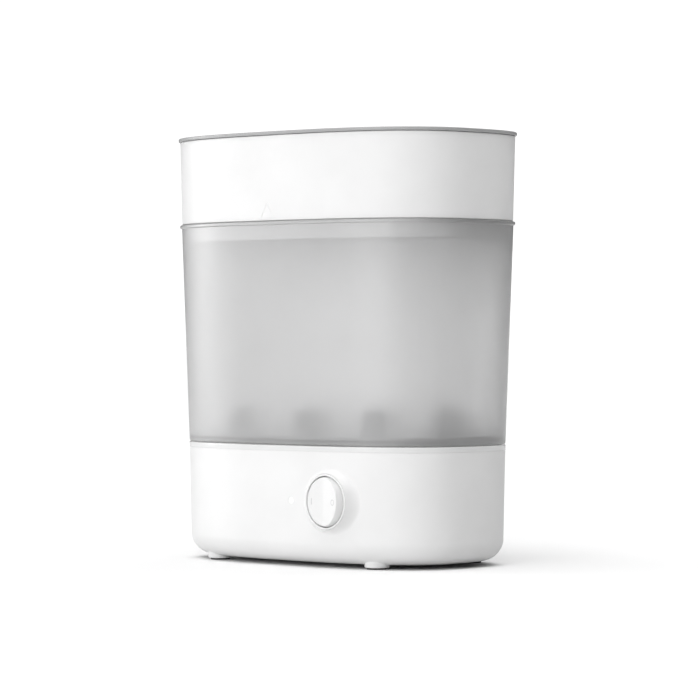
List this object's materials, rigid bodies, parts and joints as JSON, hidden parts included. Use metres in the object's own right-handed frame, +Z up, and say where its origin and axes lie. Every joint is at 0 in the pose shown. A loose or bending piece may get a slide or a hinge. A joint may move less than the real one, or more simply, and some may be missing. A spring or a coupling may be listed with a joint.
{
  "type": "bottle sterilizer",
  "caption": "Electric steam bottle sterilizer: white base with heating plate and rocker switch, frosted chamber with bottle rack, small slotted basket and flat lid.",
  "frame": {"origin": "centre of the oblong footprint, on the surface the feet stand on", "axes": "+Z up; front, with the switch, faces -Y; +X to the right of a viewer in front"},
  "size_m": [0.2924, 0.1796, 0.336],
  "materials": {
    "white_plastic": "satin moulded, near white",
    "white_inner": "satin moulded",
    "frosted_wall": "frosted translucent grey",
    "lid_grey": "satin translucent grey",
    "rack_grey": "satin mid grey",
    "band_grey": "gloss light grey",
    "steel_plate": "spun stainless steel",
    "plated_steel": "zinc plated",
    "screw_steel": "zinc plated",
    "aluminium": "cast",
    "element_sheath": "annealed sheath",
    "silicone": "matt silicone",
    "foot_rubber": "matt rubber",
    "contact_metal": "bright",
    "black_plastic": "fine texture",
    "lens": "milky diffuser",
    "led_epoxy": "clear",
    "board_green": "solder mask",
    "relay_black": "moulded",
    "capacitor_blue": "dipped",
    "fuse_gold": "plated",
    "wire_brown": "insulation",
    "wire_blue": "insulation",
    "wire_glass": "braided glass sleeve"
  },
  "bodies": {
    "root": {"base_deck": "band_grey", "base_housing": "white_plastic", "bottom_cover": "white_plastic", "heating_plate": "steel_plate", "plate_gasket": "silicone", "clamp_ring": "plated_steel", "clamp_screws": "screw_steel", "heat_spreader": "aluminium", "heating_element": "element_sheath", "element_terminals": "contact_metal", "thermostat": "black_plastic", "spreader_screw_set": "screw_steel", "thermal_fuse": "fuse_gold", "fuse_clip": "plated_steel", "switch_bezel": "white_plastic", "rocker_pin": "plated_steel", "switch_body": "black_plastic", "switch_terminals": "contact_metal", "indicator_lens": "lens", "indicator_led": "led_epoxy", "control_board": "board_green", "relay": "relay_black", "capacitor": "capacitor_blue", "board_screws": "screw_steel", "deck_screws": "screw_steel", "cover_screws": "screw_steel", "foot_pad_1": "foot_rubber", "foot_pad_2": "foot_rubber", "foot_pad_3": "foot_rubber", "foot_pad_4": "foot_rubber", "power_inlet": "black_plastic", "inlet_pins": "plated_steel", "inlet_screws": "screw_steel", "wire_inlet_switch": "wire_brown", "wire_inlet_board": "wire_blue", "wire_switch_board": "wire_brown", "wire_board_heater": "wire_glass", "wire_heater_fuse": "wire_glass"},
    "large_basket": {"chamber_wall": "frosted_wall", "bottle_rack": "rack_grey"},
    "small_basket": {"small_basket": "white_inner"},
    "lid": {"lid_shell": "lid_grey"},
    "rocker": {"power_rocker": "white_plastic", "rocker_plunger": "white_inner", "rocker_spring": "plated_steel"},
    "contact_lever": {"contact_lever": "contact_metal"}
  },
  "joints": [
    {"name": "large_basket_lift", "type": "slide", "parent": "root", "child": "large_basket", "axis": [0, 0, 1], "range_m": [0, 0.06]},
    {"name": "small_basket_lift", "type": "slide", "parent": "large_basket", "child": "small_basket", "axis": [0, 0, 1], "range_m": [0, 0.06]},
    {"name": "lid_lift", "type": "slide", "parent": "small_basket", "child": "lid", "axis": [0, 0, 1], "range_m": [0, 0.06]},
    {"name": "rocker_tilt", "type": "hinge", "parent": "root", "child": "rocker", "pos_m": [0.058, -0.0765, 0.0514], "axis": [0, 0, 1], "range_deg": [0, 16]},
    {"name": "lever_tilt", "type": "hinge", "parent": "root", "child": "contact_lever", "pos_m": [0.058, -0.0605, 0.0514], "axis": [0, 0, 1], "range_deg": [-9.6, 0]}
  ],
  "couplings": [
    {"joint": "lever_tilt", "follows": "rocker_tilt", "ratio": -0.6}
  ]
}
